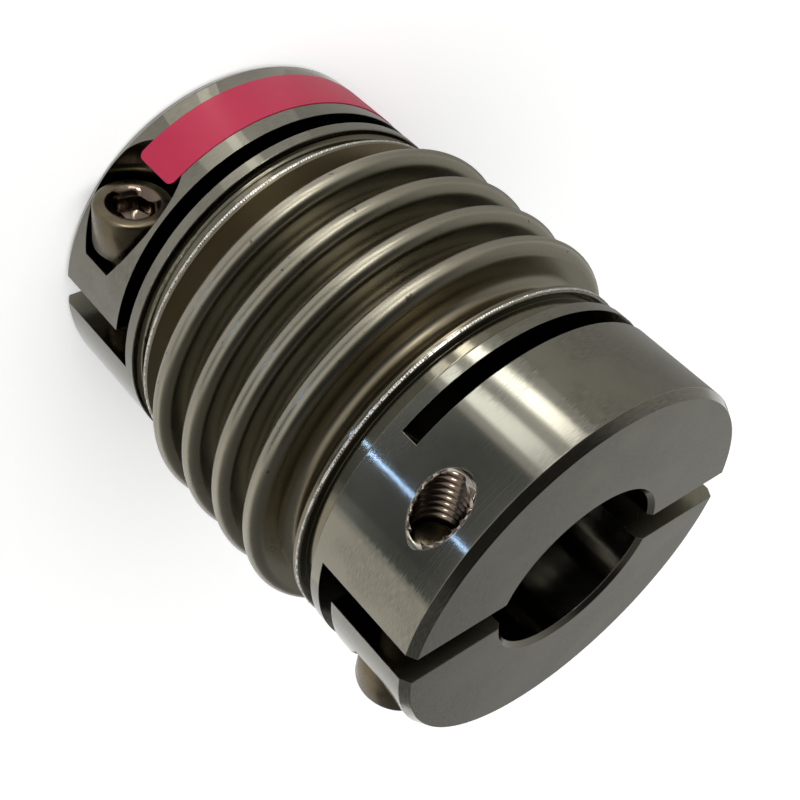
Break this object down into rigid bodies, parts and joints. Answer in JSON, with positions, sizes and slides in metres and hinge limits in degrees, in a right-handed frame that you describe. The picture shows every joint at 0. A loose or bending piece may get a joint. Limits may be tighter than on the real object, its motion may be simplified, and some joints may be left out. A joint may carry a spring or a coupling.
{
  "type": "bellows coupling",
  "caption": "Metal bellows shaft coupling: a corrugated metal bellows welded between slotted clamp hubs, each with a cross screw that clamps a shaft in its bore.",
  "frame": {"origin": "centre of the rear hub's end face, on the coupling's axis", "axes": "+Z along the coupling's axis from the rear hub to the front hub; X along the slots that split the clamp rings, with both clamp screws at negative X; the screws run along Y, the rear one with its head at +Y and the front one with its head at -Y"},
  "size_m": [0.0724, 0.0724, 0.093],
  "materials": {
    "hub_metal": "turned, bright",
    "bellows_metal": "satin",
    "screw_metal": "oiled",
    "label_film": "satin"
  },
  "bodies": {
    "root": {"rear_hub": "hub_metal", "front_hub": "hub_metal", "bellows": "bellows_metal", "rear_clamp_screw": "screw_metal", "front_clamp_screw": "screw_metal", "label": "label_film"}
  },
  "joints": []
}
